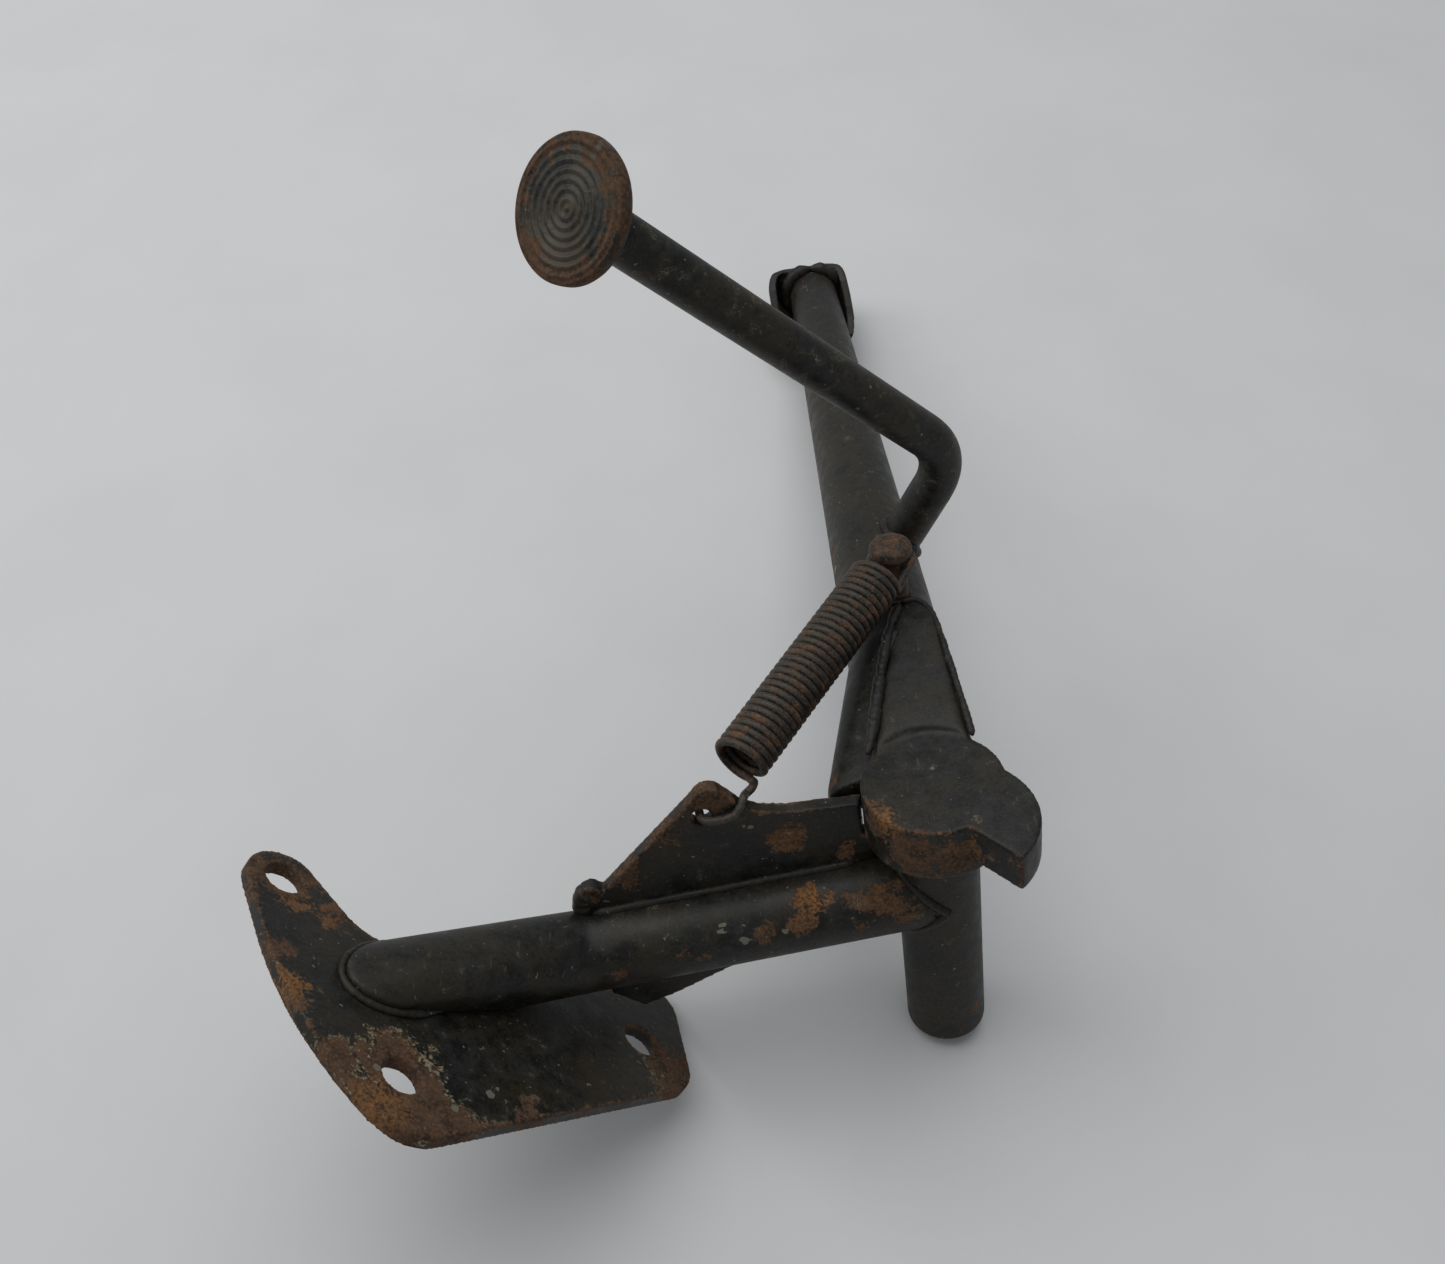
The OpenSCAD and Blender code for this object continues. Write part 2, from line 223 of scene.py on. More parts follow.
def corner_points(nodes):
    """Points along the convex sharp edges of CAD nodes, as a tree to search."""
    found = []
    for n in nodes:
        bm = bmesh.new()
        bm.from_mesh(frame["nodes"][n].data)
        bmesh.ops.remove_doubles(bm, verts=bm.verts, dist=1e-6)
        for e in bm.edges:
            if len(e.link_faces) == 2 and e.calc_face_angle_signed(0) > math.radians(EDGE_ANGLE):
                a, b = (v.co for v in e.verts)
                steps = max(1, int((b - a).length / (EDGE_STEP * MM)))
                found += [a.lerp(b, k / steps) for k in range(steps + 1)]
        bm.free()
    tree = kdtree.KDTree(len(found))
    for i, p in enumerate(found):
        tree.insert(p, i)
    tree.balance()
    return tree if found else None


def set_attribute(obj, name, values):
    layer = obj.data.attributes.new(name, "FLOAT", "POINT")
    layer.data.foreach_set("value", np.asarray(values, np.float32))


def mark(obj, nodes=(), **spots):
    """Gives every point its edge wear and how strongly each kind of spot marks it.

    A spot is its centre, its radius in mm and its strength from 0 to 1."""
    co = [v.co.copy() for v in obj.data.vertices]
    tree = corner_points(nodes) if nodes else None
    wear = np.zeros(len(co))
    if tree:
        near = np.array([tree.find(p)[2] for p in co]) / MM
        wear = np.exp(-(near / WEAR_WIDTH) ** 2)
    set_attribute(obj, "wear", wear)
    grid = np.array(co)
    for kind in ("rust", "orange", "flake", "chip"):
        total = np.zeros(len(co))
        for centre, radius, strength in spots.get(kind, ()):
            d = np.linalg.norm(grid - np.array(centre), axis=1) / (radius * MM)
            total = np.maximum(total, strength * np.clip(1.25 - d, 0, 1))
        set_attribute(obj, kind, total)
    return obj


def bake(obj):
    """Replaces an object's mesh with the result of its modifiers."""
    graph = bpy.context.evaluated_depsgraph_get()
    result = bpy.data.meshes.new_from_object(obj.evaluated_get(graph))
    obj.modifiers.clear()
    obj.data = result


def skin(name, nodes, body, voxel=0.6, rounds=4, keep=0.35, soften=(), **spots):
    """A soft-edged, closed copy of CAD nodes that stands for them.

    voxel is its grain in mm, rounds how often it is smoothed and keep the share of triangles kept.
    soften lists places that are smoothed much further: their centre, radius in mm and rounds."""
    bm = bmesh.new()
    for n in nodes:
        bm.from_mesh(frame["nodes"][n].data)
    bmesh.ops.remove_doubles(bm, verts=bm.verts, dist=1e-6)
    mesh = bpy.data.meshes.new(name)
    bm.to_mesh(mesh)
    bm.free()
    obj = new_object(name, mesh)
    remesh = obj.modifiers.new("remesh", "REMESH")
    remesh.mode = "VOXEL"
    remesh.voxel_size = voxel * MM
    smooth = obj.modifiers.new("smooth", "SMOOTH")
    smooth.factor = 0.5
    smooth.iterations = rounds
    bake(obj)
    for centre, radius, extra in soften:
        group = obj.vertex_groups.new(name="soften")
        for v in obj.data.vertices:
            near = 1.3 - (v.co - centre).length / (radius * MM)
            if near > 0:
                group.add([v.index], min(near, 1.0), "REPLACE")
        more = obj.modifiers.new("soften", "SMOOTH")
        more.factor = 0.5
        more.iterations = extra
        more.vertex_group = group.name
        bake(obj)
        obj.vertex_groups.clear()
    thin = obj.modifiers.new("thin", "DECIMATE")
    thin.ratio = keep
    bake(obj)
    shade_smooth(obj.data)
    mark(obj, nodes, **spots)
    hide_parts(*nodes)
    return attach(obj, body)


def bead(name, points, radius, body, ripple=0.04, lumps=0.25):
    """A weld bead: an uneven tube, half sunk along the line where two pieces meet."""
    path = even(points, BEAD_STEP * MM)
    count = len(path)
    radii = []
    for i, p in enumerate(path):
        ends = min(1.0, 0.35 + min(i, count - 1 - i) * BEAD_STEP / (2 * radius))
        wave = 1 + ripple * math.sin(2 * math.pi * i * BEAD_STEP / RIPPLE_PITCH)
        lump = 1 + lumps * noise.noise(p / MM * 0.22)
        radii.append(radius * MM * ends * wave * lump)
    obj = sweep(name, path, radii)
    mark(obj)
    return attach(obj, body)


# ------------------------------------------------------------------ materials

class Graph:
    """Builds a material's nodes. Values are numbers, colours or the sockets of other nodes."""

    def __init__(self, name):
        self.material = bpy.data.materials.new(name)
        self.material.use_nodes = True
        self.tree = self.material.node_tree
        self.shader = self.tree.nodes["Principled BSDF"]
        coordinates = self.tree.nodes.new("ShaderNodeTexCoord").outputs["Object"]
        self.mm = self.vector("SCALE", coordinates, scale=1 / MM)

    def put(self, socket, value):
        if isinstance(value, bpy.types.NodeSocket):
            self.tree.links.new(value, socket)
        elif isinstance(value, tuple) and len(value) == 3 and socket.type == "RGBA":
            socket.default_value = (*value, 1)
        else:
            socket.default_value = value

    def vector(self, operation, a, b=None, scale=None):
        n = self.tree.nodes.new("ShaderNodeVectorMath")
        n.operation = operation
        self.put(n.inputs[0], a)
        if b is not None:
            self.put(n.inputs[1], b)
        if scale is not None:
            self.put(n.inputs["Scale"], scale)
        return n.outputs[0]

    def math(self, operation, a, b=0.0):
        n = self.tree.nodes.new("ShaderNodeMath")
        n.operation = operation
        self.put(n.inputs[0], a)
        self.put(n.inputs[1], b)
        return n.outputs[0]

    def noise(self, scale, detail=4.0, rough=0.55, stretch=None, at=None):
        n = self.tree.nodes.new("ShaderNodeTexNoise")
        place = self.mm if at is None else self.vector("ADD", self.mm, at)
        if stretch:
            place = self.vector("MULTIPLY", place, stretch)
        self.put(n.inputs["Vector"], place)
        self.put(n.inputs["Scale"], scale)
        self.put(n.inputs["Detail"], detail)
        self.put(n.inputs["Roughness"], rough)
        return n.outputs["Fac"]

    def step(self, value, low, high, out_low=0.0, out_high=1.0):
        n = self.tree.nodes.new("ShaderNodeMapRange")
        n.interpolation_type = "SMOOTHSTEP"
        self.put(n.inputs["Value"], value)
        self.put(n.inputs["From Min"], low)
        self.put(n.inputs["From Max"], high)
        self.put(n.inputs["To Min"], out_low)
        self.put(n.inputs["To Max"], out_high)
        return n.outputs["Result"]

    def mix(self, factor, a, b, kind="RGBA"):
        n = self.tree.nodes.new("ShaderNodeMix")
        n.data_type = kind
        first, second, result = (6, 7, 2) if kind == "RGBA" else (2, 3, 0)
        self.put(n.inputs[0], factor)
        self.put(n.inputs[first], a)
        self.put(n.inputs[second], b)
        return n.outputs[result]

    def attribute(self, name):
        n = self.tree.nodes.new("ShaderNodeAttribute")
        n.attribute_name = name
        return n.outputs["Fac"]

    def finish(self, colour, roughness, height, depth, metallic=0.0):
        bump = self.tree.nodes.new("ShaderNodeBump")
        self.put(bump.inputs["Height"], height)
        bump.inputs["Strength"].default_value = 0.7
        bump.inputs["Distance"].default_value = depth * MM
        self.put(self.shader.inputs["Base Color"], colour)
        self.put(self.shader.inputs["Roughness"], roughness)
        self.put(self.shader.inputs["Metallic"], metallic)
        self.put(self.shader.inputs["Normal"], bump.outputs["Normal"])
        return self.material


def add(g, *parts):
    """Sum of (socket, weight) pairs."""
    total = None
    for socket, weight in parts:
        term = g.math("MULTIPLY", socket, weight)
        total = term if total is None else g.math("ADD", total, term)
    return total


def rust_colours(g, fine, patchy, orange):
    """Brown to rusty red, with bright fresh rust where orange says."""
    dark = g.mix(patchy, (0.024, 0.017, 0.012), (0.080, 0.046, 0.027))
    warm = g.mix(g.step(fine, 0.42, 0.68), dark, (0.125, 0.066, 0.034))
    return g.mix(g.math("MULTIPLY", orange, g.step(fine, 0.36, 0.60)), warm, (0.23, 0.105, 0.032))


def old_paint(name, tone, rust_bias, wear_rust, chips, seed, dust=0.25, scuffs=0.0):
    """Satin black paint gone grimy, with rust breaking through at edges and marked spots.

    tone is its lightness, wear_rust the rust along edges, dust the film on what faces up."""
    g = Graph(name)
    seed = (seed, seed * 1.7, -seed)
    broad = g.noise(0.045, 3, at=seed)
    cloudy = g.noise(0.22, 5, at=seed)
    fine = g.noise(1.1, 6, 0.65, at=seed)
    grain = g.noise(5.0, 3, at=seed)
    scratch = g.noise(0.9, 3, stretch=(1.0, 0.12, 1.0), at=seed)
    streaks = g.noise(0.5, 4, stretch=(0.25, 0.8, 0.8), at=seed)
    black = tuple(tone * c for c in (0.0060, 0.0061, 0.0054))
    grey = tuple(tone * c for c in (0.0250, 0.0262, 0.0235))
    brown = tuple(tone * c for c in (0.034, 0.0260, 0.0140))
    paint = g.mix(g.step(add(g, (cloudy, 0.65), (fine, 0.35)), 0.40, 0.62), black, grey)
    paint = g.mix(g.step(add(g, (broad, 0.45), (fine, 0.30), (streaks, 0.25)), 0.44, 0.58, 0.0, 0.85),
                  paint, brown)
    upward = g.tree.nodes.new("ShaderNodeNewGeometry").outputs["Normal"]
    facing = g.tree.nodes.new("ShaderNodeSeparateXYZ")
    g.put(facing.inputs[0], upward)
    film = g.math("MULTIPLY", g.step(facing.outputs["Z"], 0.55, 1.0, 0.0, dust),
                  g.step(fine, 0.35, 0.7, 0.5, 1.0))
    paint = g.mix(film, paint, tuple(tone * c for c in (0.040, 0.040, 0.036)))
    marked, wear = g.attribute("rust"), g.attribute("wear")
    value = add(g, (marked, 1.0), (wear, wear_rust), (cloudy, 1.35), (fine, 0.85), (broad, 0.60))
    value = g.math("ADD", value, rust_bias - 1.40)
    rusted = g.step(value, 0.44, 0.60)
    rust = rust_colours(g, fine, g.step(cloudy, 0.35, 0.65), g.attribute("orange"))
    colour = g.mix(rusted, paint, rust)
    border = g.math("MULTIPLY", g.step(value, 0.34, 0.42), g.step(value, 0.62, 0.52))
    lifted = g.math("MULTIPLY", border, g.attribute("flake"))
    lifted = g.math("MULTIPLY", lifted, g.step(g.noise(0.8, 3, at=seed), 0.47, 0.60))
    colour = g.mix(lifted, colour, (0.30, 0.26, 0.16))
    nick = g.step(g.math("ADD", g.noise(0.55, 2, at=seed), chips - 0.74), 0.0, 0.02)
    nick = g.math("MAXIMUM", nick, g.step(add(g, (g.attribute("chip"), 1.0), (fine, 0.6)), 0.78, 0.86))
    colour = g.mix(g.math("MULTIPLY", nick, 0.8), colour, (0.16, 0.155, 0.115))
    scored = g.math("MULTIPLY", g.step(scratch, 0.64, 0.72), 0.4)
    colour = g.mix(scored, colour, (0.085, 0.075, 0.045))
    rubbed = g.math("MULTIPLY", g.step(g.math("ADD", cloudy, scuffs), 0.62, 0.70),
                    g.step(g.noise(2.4, 4, 0.7, at=seed), 0.50, 0.60))
    colour = g.mix(g.math("MULTIPLY", rubbed, 0.75), colour, (0.17, 0.145, 0.09))
    rough = g.mix(rusted, g.step(cloudy, 0.3, 0.7, 0.40, 0.58), 0.93, "FLOAT")
    g.shader.inputs["Specular IOR Level"].default_value = 0.28
    height = add(g, (rusted, -0.55), (fine, 0.40), (cloudy, 0.8), (grain, 0.12), (lifted, 0.6),
                 (nick, -0.5), (g.math("MULTIPLY", rusted, grain), 0.5))
    return g.finish(colour, rough, height, 0.22)


def rusty_steel(name, lightness, rust_share, seed):
    """Bare steel gone brown, as the spring and its stud are."""
    g = Graph(name)
    seed = (seed, -seed, seed * 0.6)
    cloudy = g.noise(0.30, 5, at=seed)
    fine = g.noise(1.6, 6, 0.65, at=seed)
    grain = g.noise(6.0, 3, at=seed)
    bare = g.mix(g.step(fine, 0.35, 0.65), tuple(lightness * c for c in (0.022, 0.020, 0.017)),
                 tuple(lightness * c for c in (0.055, 0.047, 0.036)))
    mask = g.step(add(g, (cloudy, 0.6), (fine, 0.4)), 0.62 - rust_share * 0.3, 0.72 - rust_share * 0.3)
    rust = rust_colours(g, fine, g.step(cloudy, 0.35, 0.65), g.step(cloudy, 0.55, 0.75, 0.0, 0.5))
    colour = g.mix(mask, bare, rust)
    rough = g.mix(mask, g.step(fine, 0.3, 0.7, 0.45, 0.65), 0.9, "FLOAT")
    height = add(g, (fine, 0.5), (grain, 0.3), (mask, 0.3))
    return g.finish(colour, rough, height, 0.12, g.math("MULTIPLY", g.math("SUBTRACT", 1.0, mask), 0.5))


def greased_metal(name, light, dark, seed):
    """Machined metal under old grease, for the pieces inside the barrel."""
    g = Graph(name)
    seed = (seed, seed, seed)
    cloudy = g.noise(0.25, 4, at=seed)
    turned = g.noise(1.2, 3, stretch=(0.2, 0.2, 4.0), at=seed)
    colour = g.mix(g.step(cloudy, 0.4, 0.7), light, dark)
    rough = g.step(turned, 0.3, 0.7, 0.28, 0.5)
    return g.finish(colour, rough, turned, 0.03, 0.9)


PAINT = old_paint("black_paint", 0.75, 0.0, 0.20, 0.02, 3.0)
PLATE_PAINT = old_paint("plate_paint", 0.75, 0.02, 0.55, 0.03, 11.0, dust=0.2)
HEAD_PAINT = old_paint("head_paint", 0.75, 0.02, 0.35, 0.0, 23.0)
ROD_PAINT = old_paint("rod_paint", 0.9, 0.02, 0.0, 0.03, 53.0, scuffs=0.06)
BEAD_PAINT = old_paint("bead_paint", 0.75, 0.05, 0.0, 0.0, 31.0)
PAD_PAINT = old_paint("pad_paint", 1.7, 0.22, 0.25, 0.0, 41.0)
SPRING_STEEL = rusty_steel("spring_steel", 1.4, 0.45, 5.0)
STUD_STEEL = rusty_steel("stud_steel", 0.9, 0.70, 15.0)
PIN_STEEL = greased_metal("pin_steel", (0.40, 0.40, 0.39), (0.13, 0.12, 0.10), 2.0)
BRONZE = greased_metal("bush_bronze", (0.42, 0.26, 0.11), (0.16, 0.10, 0.05), 7.0)


def finish_with(obj, material):
    obj.data.materials.clear()
    obj.data.materials.append(material)
    return obj


# ------------------------------------------------------------------ bracket

plate_spots = {
    "rust": [(hole["corner"], 15, 1.0), (plate(-9, -8), 15, 0.95), (plate(4, -13), 12, 0.9),
             (plate(-15, 8), 9, 0.7), (plate(-2, 62), 14, 0.75), (plate(8, 50), 8, 0.6),
             (plate(-12, 42), 8, 0.55), (plate(-14, 28), 7, 0.6), (plate(20, 36), 8, 0.4),
             (plate(92, -12), 12, 0.9), (plate(30, -16), 8, 0.6), (hole["far"], 8, 0.35)],
    "orange": [(plate(12, 8), 6, 0.8), (plate(-10, -6), 8, 0.8), (plate(-14, 30), 7, 0.9),
               (plate(0, 52), 10, 0.5), (plate(8, 38), 6, 0.6)],
    "flake": [(hole["corner"], 24, 1.0), (plate(-8, -10), 20, 1.0), (plate(85, -12), 14, 0.5)],
    "chip": [(plate(22, -9), 1.8, 1.0), (plate(25, -8), 1.0, 1.0), (plate(9, -11), 1.6, 1.0),
             (plate(-6, 3), 1.4, 1.0)],
}
finish_with(skin("plate_steel", ["mount_plate"], "bracket", 0.5, 3, 0.3, **plate_spots),
            PLATE_PAINT)

tube_spots = {
    "rust": [(on_tube(36, 32), 7, 0.75), (on_tube(38, 60), 8, 0.7), (on_tube(49, 66), 6, 0.65),
             (on_tube(25, 42), 7, 0.5), (on_tube(17, 50), 9, 0.7), (on_tube(13, 70), 8, 0.65),
             (on_tube(24, 78), 7, 0.6), (on_tube(71, 72), 3, 0.8), (on_tube(66, 84), 3, 0.7),
             (on_tube(104, 20), 4, 0.7), (on_tube(88, 84), 4, 0.6), (on_tube(62, 40), 9, 0.3)],
    "orange": [(on_tube(35, 30), 6, 1.0), (on_tube(38, 56), 4, 0.5), (on_tube(15, 55), 7, 0.2)],
    "chip": [(on_tube(60, 42), 1.5, 1.0), (on_tube(60.5, 50), 1.3, 1.0), (on_tube(55, 68), 1.8, 1.0),
             (on_tube(118, 38), 2.2, 0.9), (on_tube(44, 66), 1.2, 1.0)],
}
tube_seam = [(upright(96, 0), 17, 60)]    # where the tube turns into its flattened end
finish_with(skin("bracket_tube_steel", ["bracket_tube", "tube_end_flare"], "bracket", 0.6, 8, 0.35,
                 tube_seam, **tube_spots), PAINT)
finish_with(skin("gusset_steel", ["plate_gusset"], "bracket", 0.5, 4, 0.5), PAINT)

FIN_FRONT, FIN_BACK = 3.0, 7.0    # its two faces, towards the leg from the tube's axis
fin_spots = {
    "rust": [(upright(39, 24, FIN_FRONT), 7, 0.85), (upright(24, 17, FIN_FRONT), 6, 0.7),
             (upright(82, 20, FIN_FRONT), 7, 0.65), (upright(58, 43, FIN_FRONT), 7, 0.75),
             (upright(70, 34, FIN_FRONT), 6, 0.6), (upright(93, 15, FIN_FRONT), 4, 0.7)],
    "orange": [(upright(39, 24, FIN_FRONT), 6, 0.5), (upright(24, 17, FIN_FRONT), 5, 0.5)],
    "chip": [(upright(48, 31, FIN_FRONT), 1.2, 1.0), (upright(38, 26, FIN_FRONT), 0.8, 1.0)],
}
finish_with(skin("anchor_plate_steel", ["spring_anchor_plate"], "bracket", 0.45, 4, 0.4, **fin_spots),
            PLATE_PAINT)

barrel_spots = {
    "rust": [(at(8, -8.5, -68), 3.0, 0.95), (at(3, -11, -75), 3.5, 0.6), (at(-8, -8, -4), 5, 0.5)],
    "orange": [(at(8, -8.5, -68), 3.0, 0.8)],
    "chip": [(at(-3, -11, -20), 1.2, 1.0)],
}
finish_with(skin("barrel_steel", ["pivot_barrel"], "bracket", 0.5, 4, 0.4, **barrel_spots),
            PAINT)

# ------------------------------------------------------------------ leg

head_spots = {
    "rust": [(at(-8, -17, 8), 10, 0.8), (at(3, -18.4, 8), 9, 0.85), (at(-16, -9, 13), 8, 0.75),
             (at(9, -17, 9), 9, 0.8), (at(16, -25, 12), 6, 0.5), (at(-18, 0, 6), 8, 0.4)],
    "orange": [(at(-14, -12, 16), 5, 0.8), (at(2, -18, 15), 6, 0.6), (at(9, -17, 12), 6, 0.5)],
    "chip": [(at(15, -29, 16.8), 1.0, 1.0), (at(1, 5, 17), 0.8, 1.0)],
}
head_seam = [(at(-1, 19, 17), 17, 40)]    # where the head meets its tongue
finish_with(skin("pivot_forging", ["pivot_head", "head_tongue"], "leg", 0.5, 8, 0.4, head_seam,
                 **head_spots), HEAD_PAINT)

leg_spots = {
    "rust": [(on_leg(100, -75), 4, 0.7), (on_leg(112, -80), 5, 0.6), (on_leg(306, -20), 5, 0.55),
             (at(-26, 14, 8), 5, 0.6), (on_leg(85, -70), 4, 0.5), (on_leg(150, 70), 4, 0.5)],
    "chip": [(on_leg(103, -72), 1.4, 1.0), (on_leg(109, -74), 1.0, 1.0), (on_leg(300, -15), 1.5, 0.8),
             (at(12, 44, 14), 1.3, 1.0)],
}
finish_with(skin("leg_tube_steel", ["leg_tube"], "leg", 0.7, 14, 0.3, **leg_spots), PAINT)
finish_with(skin("foot_steel", ["foot_shoe"], "leg", 0.5, 5, 0.4), PAINT)
finish_with(skin("kick_rod_steel", ["kick_rod"], "leg", 0.6, 5, 0.4), ROD_PAINT)
finish_with(skin("stud_steel_neck", ["spring_stud"], "leg", 0.4, 3, 0.6), STUD_STEEL)

# Kick pad: a turned disc with worn concentric grooves
PAD_AT, PAD_NORMAL = Vector((-66.3, 58.4, 155.3)), Vector((-0.588, -0.639, 0.496)).normalized()
PAD_R, PAD_T, GROOVES, FACE_STEP = 17.25, 4.5, 7, 0.25
pad_turn = PAD_NORMAL.to_track_quat("Z", "Y").to_matrix().to_4x4()
PAD = PIVOT @ Matrix.Translation(PAD_AT) @ pad_turn


def pad_profile():
    """Outline of the pad from the middle of its back, round the rim to the middle of its face."""
    back = [(0.0, 0.0), (8.0, 0.0), (PAD_R - 1.2, 0.0), (PAD_R - 0.35, 0.3), (PAD_R, 1.0)]
    rim = [(PAD_R, 2.4), (PAD_R - 0.1, PAD_T - 1.0), (PAD_R - 0.5, PAD_T - 0.35)]
    face = []
    start = PAD_R - 1.0
    for k in range(int(start / FACE_STEP)):
        r = start - FACE_STEP * k
        wave = math.cos(2 * math.pi * r / (start / (GROOVES + 0.5)))
        face.append((r, PAD_T - 0.32 + 0.26 * wave))
    return back + rim + face + [(0.0, PAD_T - 0.06)]


pad = lathe("kick_pad_disc", pad_profile(), PAD)
pad_rim = [(PAD @ Vector((PAD_R * math.cos(a), PAD_R * math.sin(a), PAD_T)), 6, 0.55)
           for a in np.linspace(0, 2 * math.pi, 14, endpoint=False)]
mark(pad, rust=pad_rim)
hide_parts("kick_pad")
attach(pad, "leg")
finish_with(pad, PAD_PAINT)

# Head of the spring's stud: a low dome with a rolled edge
STUD = Vector((0.5, 72.0, 37.5))
STUD_FRAME = PIVOT @ Matrix.Translation(STUD)
dome = [(0.0, 0.0), (5.4, 0.0), (6.0, 0.25), (6.2, 0.9), (6.2, 2.0)]
dome += [(6.2 * math.cos(a), 2.0 + 3.1 * math.sin(a)) for a in np.radians([14, 28, 42, 56, 70, 82])]
stud_head = lathe("stud_head_dome", dome + [(0.0, 5.12)], STUD_FRAME, 48)
mark(stud_head)
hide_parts("stud_head")
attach(stud_head, "leg")
finish_with(stud_head, STUD_STEEL)

# ------------------------------------------------------------------ spring

# Spring: its wire, coils, the distance from the anchor hole to the coils, and the eye on the stud
WIRE_R, COIL_R, COILS, PITCH = 1.17, 6.8, 30, 2.4
COIL_START = 16.5
EYE_Z, EYE_R = 35.5, 6.0
anchor = PIVOT.inverted() @ Vector(spring_swing["pos_m"])
stud_centre = Vector((STUD.x, STUD.y, EYE_Z))
spring_z = (stud_centre - anchor).normalized()
spring_x = spring_z.cross(Vector((0, 0, 1))).normalized()
spring_y = spring_z.cross(spring_x)
SPRING = Matrix((spring_x, spring_y, spring_z)).transposed()


def in_spring(radius, angle, z):
    """Pivot-frame point at a radius and an angle about the spring's axis, z from its anchor."""
    a = math.radians(angle)
    return anchor + SPRING @ Vector((radius * math.cos(a), radius * math.sin(a), z))


def pivot_mm(p):
    return PIVOT.inverted() @ p


# The coils start at an angle of FIRST_TURN and end at the hook's, a part of a turn early
PER_TURN, FIRST_TURN, LEFT_OFF = 28, 80.0, 6
steps = COILS * PER_TURN - LEFT_OFF
coil = []
for k in range(steps):
    coil.append(in_spring(COIL_R, FIRST_TURN + 360 * k / PER_TURN,
                          COIL_START + WIRE_R + (PITCH * COILS - 2 * WIRE_R) * k / (steps - 1)))
# Lower hook: out of the fin's hole at its back, along its front, over its top and to the coils
lower = [upright(60.5, 37.4, 9.2), upright(60.4, 37.4, 6.5), upright(60.1, 37.4, 3.6),
         upright(59.0, 37.3, 1.7), upright(55.5, 37.2, 1.3), upright(51.6, 37.9, 1.3),
         upright(49.4, 39.6, 2.6), upright(48.4, 40.4, 4.6)]
lower = [pivot_mm(p) for p in lower]
lower += [in_spring(6.5, 36, COIL_START - 5.0), in_spring(6.9, 38, COIL_START - 2.2),
          in_spring(6.8, 52, COIL_START + 0.3)]
# Upper hook: from the last coil round the neck of the stud
upper = [in_spring(COIL_R, 18, COIL_START + PITCH * COILS - 0.9),
         in_spring(6.6, 32, COIL_START + PITCH * COILS + 1.0)]
for turn in range(-35, 236, 15):
    a = math.radians(turn)
    upper.append(stud_centre + Vector((EYE_R * math.cos(a), EYE_R * math.sin(a), 0)))
low_line = through(lower)[:-1]
high_line = through(upper)
wire = [PIVOT @ p for p in low_line + coil + high_line]
wire_obj = sweep("spring_wire", wire, [WIRE_R * MM] * len(wire))
mark(wire_obj)
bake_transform(wire_obj)
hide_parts("spring_coils", "spring_lower_hook", "spring_upper_hook")
finish_with(wire_obj, SPRING_STEEL)

# ------------------------------------------------------------------ weld beads

GUSSET_HALF = 2.0


def paint_bead(obj):
    return finish_with(obj, BEAD_PAINT)


def fin_foot(w):
    """Line where a face of the anchor plate meets the bracket tube."""
    along = np.linspace(22, 94, 30)
    return [upright(s, math.sqrt(TUBE_R ** 2 - w ** 2) - s * math.tan(TUBE_FALL) + 0.1, w)
            for s in along]


paint_bead(bead("weld_anchor_front", fin_foot(FIN_FRONT - 0.2), 1.5, "bracket"))
paint_bead(bead("weld_anchor_back", fin_foot(FIN_BACK + 0.2), 1.5, "bracket"))
knob = [upright(95.6, 6, 5), upright(96.2, 10, 5), upright(95.6, 14, 5), upright(93.4, 16.6, 5),
        upright(91.2, 16.4, 5)]
paint_bead(bead("weld_anchor_end", through(knob), 2.6, "bracket"))

gusset_drop = math.sqrt(TUBE_R ** 2 - GUSSET_HALF ** 2)
gusset_foot = [upright(s, -gusset_drop - s * math.tan(TUBE_FALL), -GUSSET_HALF - 0.2)
               for s in np.linspace(52, 90, 20)]
paint_bead(bead("weld_gusset", gusset_foot, 1.4, "bracket"))

saddle = []    # round the tube where it runs into the barrel, which has its radius
for turn in np.linspace(0, 360, 61):
    a = math.radians(turn)
    side = TUBE_R * math.sin(a)
    reach = math.sqrt(max(TUBE_R ** 2 - side ** 2, 0.0))
    saddle.append(upright(reach, TUBE_R * math.cos(a), -side))
paint_bead(bead("weld_barrel", saddle, 1.2, "bracket"))

flare = []
for turn in np.linspace(60, 300, 41):
    a = math.radians(turn)
    flare.append(plate(16 + 17.2 * math.cos(a), 28 + 11.6 * math.sin(a), 0.4))
paint_bead(bead("weld_plate", flare, 1.1, "bracket"))

# Rings round the kick rod's foot on the leg, and round its end on the pad
ROD_RING = 6.6
rod_foot, rod_corner = Vector((8.3, 109, 17.5)), Vector((24.3, 102.7, 48.7))
rod_way = (rod_corner - rod_foot).normalized()
rod_side = rod_way.orthogonal().normalized()
rod_up = rod_way.cross(rod_side)
rod_ring = []
for turn in np.linspace(0, 360, 49):
    a = math.radians(turn)
    start = rod_foot + (rod_side * math.cos(a) + rod_up * math.sin(a)) * ROD_RING
    best = start
    for d in np.linspace(-14, 16, 121):
        p = start + rod_way * float(d)
        centre = Vector((LEG_X, p.y, LEG_Z - p.y * math.tan(LEG_FALL)))
        if (p - centre).length < leg_radius(p.y):
            best = p
    rod_ring.append(PIVOT @ best)
paint_bead(bead("weld_rod", rod_ring, 1.7, "leg"))

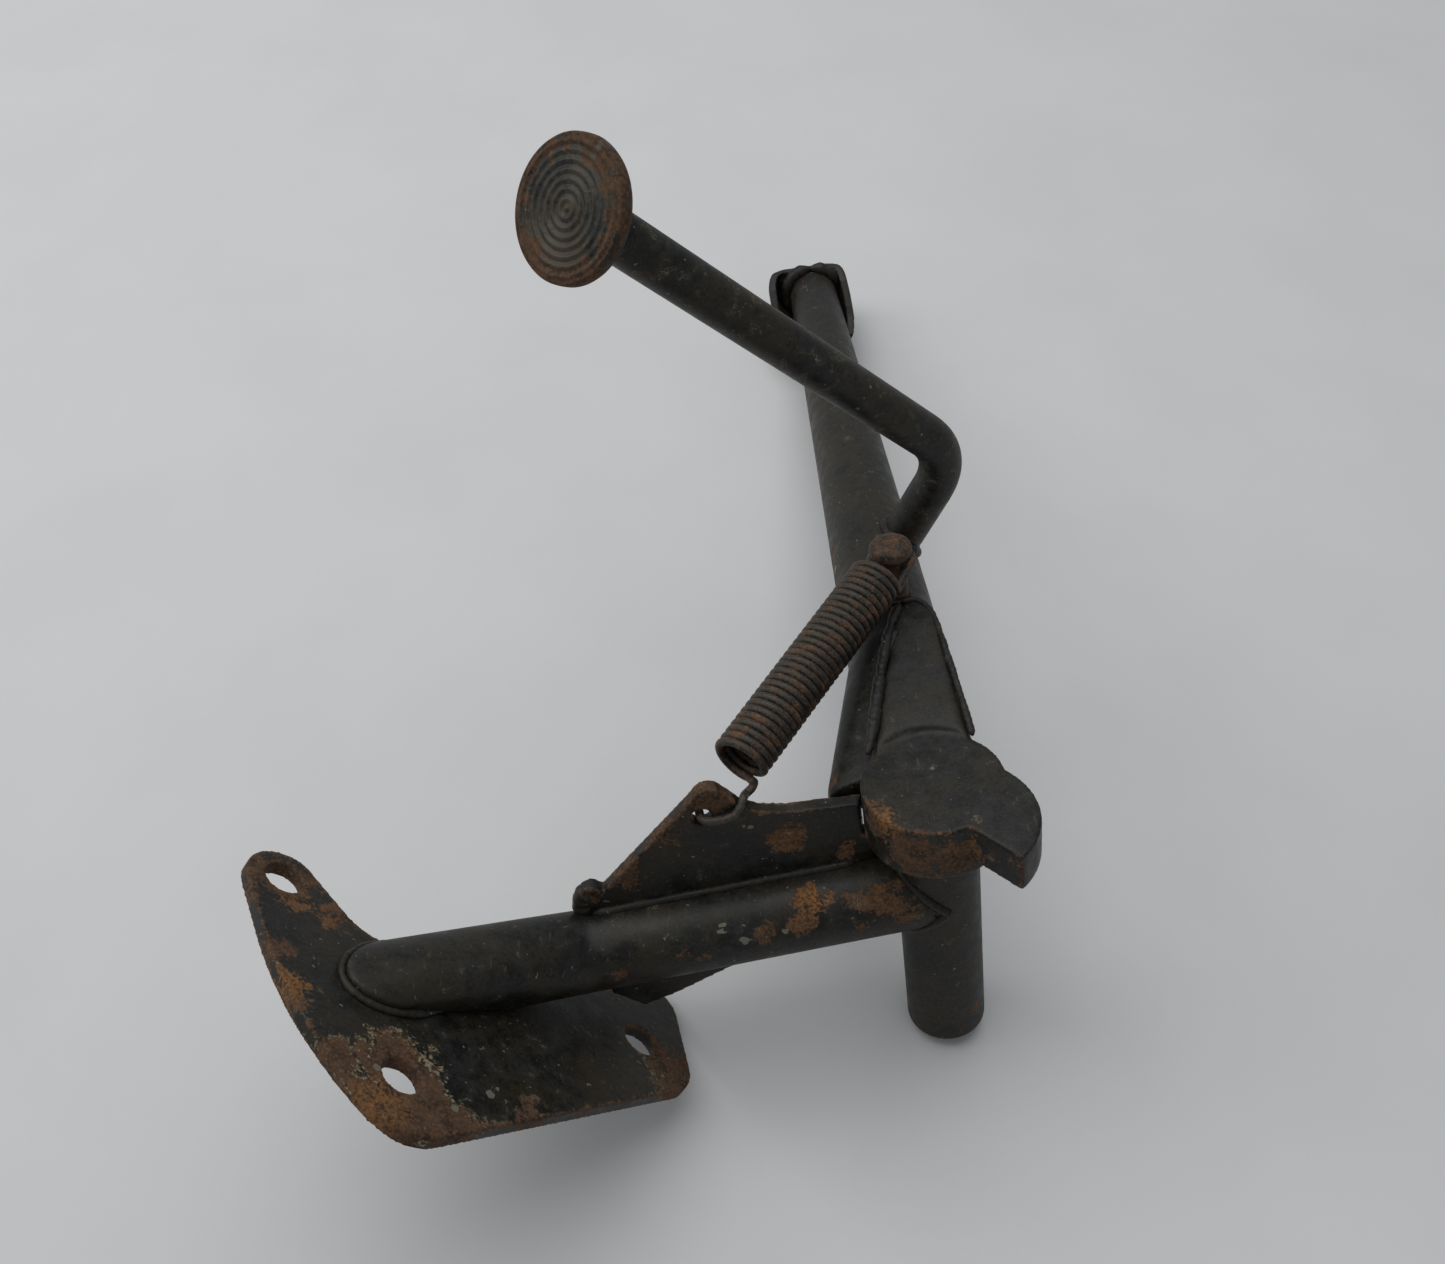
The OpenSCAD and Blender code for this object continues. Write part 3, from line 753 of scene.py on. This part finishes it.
rod_end_way = (PAD_AT - rod_corner).normalized()
side = rod_end_way.orthogonal().normalized()
pad_ring = []
for turn in np.linspace(0, 360, 49):
    a = math.radians(turn)
    p = PAD_AT + (side * math.cos(a) + rod_end_way.cross(side) * math.sin(a)) * ROD_RING
    p -= rod_end_way * ((p - PAD_AT).dot(PAD_NORMAL) / rod_end_way.dot(PAD_NORMAL))
    pad_ring.append(PIVOT @ p)
paint_bead(bead("weld_pad", pad_ring, 1.4, "leg"))

tongue_left = through([at(-15.2, 12, 17.5), at(-12.6, 20, 19), at(-10.2, 30, 20.4), at(-6.5, 44, 22),
                       at(-2.5, 57, 23.4), at(1.5, 65.5, 24)])
tongue_right = through([at(12.8, 14, 17.5), at(12.2, 28, 19.5), at(11.2, 44, 21.6),
                        at(10.0, 60, 22.8), at(6.5, 66.5, 23.8), at(1.5, 66.5, 24)])
paint_bead(bead("weld_tongue_left", tongue_left, 1.7, "leg", lumps=0.5))
paint_bead(bead("weld_tongue_right", tongue_right, 1.0, "leg"))

shoe_ring = [on_leg(LEG_LEN - 2.5, turn, 11.2) for turn in np.linspace(0, 360, 37)]
paint_bead(bead("weld_shoe", shoe_ring, 3.0, "leg", 0.0, lumps=0.06))

STUD_RING = 4.7
stud_ring = []
for turn in np.linspace(0, 360, 33):
    a = math.radians(turn)
    x, y = STUD.x + STUD_RING * math.cos(a), STUD.y + STUD_RING * math.sin(a)
    r = leg_radius(y)
    z = LEG_Z - y * math.tan(LEG_FALL) + math.sqrt(r ** 2 - (x - LEG_X) ** 2)
    stud_ring.append(at(x, y, z))
paint_bead(bead("weld_stud", stud_ring, 1.2, "leg"))

# ------------------------------------------------------------------ CAD nodes that stay

KEPT = {"upper_bush": BRONZE, "lower_bush": BRONZE, "thrust_washer": PIN_STEEL,
        "pivot_pin": PIN_STEEL, "retaining_washer": PIN_STEEL, "circlip": PIN_STEEL}
for node_name, material in KEPT.items():
    finish_with(frame["nodes"][node_name], material)

# ------------------------------------------------------------------ floor, light and camera

HALF = 4.0    # of the floor's side, in metres
floor_mesh = bpy.data.meshes.new("floor")
floor_mesh.from_pydata([(-HALF, -HALF, 0), (HALF, -HALF, 0), (HALF, HALF, 0), (-HALF, HALF, 0)], [],
                       [(0, 1, 2, 3)])
floor = new_object("floor", floor_mesh)
cloth = Graph("white_sheet")
soft = cloth.noise(0.012, 3)
weave = cloth.noise(2.2, 2)
cloth_colour = cloth.mix(cloth.step(soft, 0.3, 0.7), (0.615, 0.615, 0.61), (0.635, 0.635, 0.635))
floor_mesh.materials.append(cloth.finish(cloth_colour, 0.95, add(cloth, (weave, 1.0)), 0.05))


def area_light(name, place, target, size, watts, colour=(1, 1, 1)):
    light = bpy.data.lights.new(name, "AREA")
    light.shape = "DISK"
    light.size = size
    light.energy = watts
    light.color = colour
    obj = bpy.data.objects.new(name, light)
    scene.collection.objects.link(obj)
    obj.location = place
    way = Vector(target) - Vector(place)
    obj.rotation_mode = "QUATERNION"
    obj.rotation_quaternion = way.to_track_quat("-Z", "Y")
    return obj


area_light("ceiling", (-0.2, 0.35, 1.5), (0, 0, 0), 1.8, 15)
area_light("window", (-1.4, 0.3, 1.0), (0, 0, 0.05), 1.0, 6, (0.97, 0.99, 1.0))
world = bpy.data.worlds.new("room")
world.use_nodes = True
world.node_tree.nodes["Background"].inputs["Color"].default_value = (0.92, 0.95, 1.0, 1)
world.node_tree.nodes["Background"].inputs["Strength"].default_value = 0.29
scene.world = world
scene.view_settings.view_transform = "Standard"

# The camera's place, and its turns about X, Y and Z in degrees
CAMERA_AT = (0.00967, -0.31066, 0.39694)
CAMERA_TURN = (39.23, 0.52, -4.23)
lens = bpy.data.cameras.new("camera")
lens.sensor_width = 36.0
lens.lens = 34.87
lens.clip_start = 0.01
camera = bpy.data.objects.new("camera", lens)
scene.collection.objects.link(camera)
camera.location = CAMERA_AT
camera.rotation_euler = [math.radians(a) for a in CAMERA_TURN]
scene.camera = camera
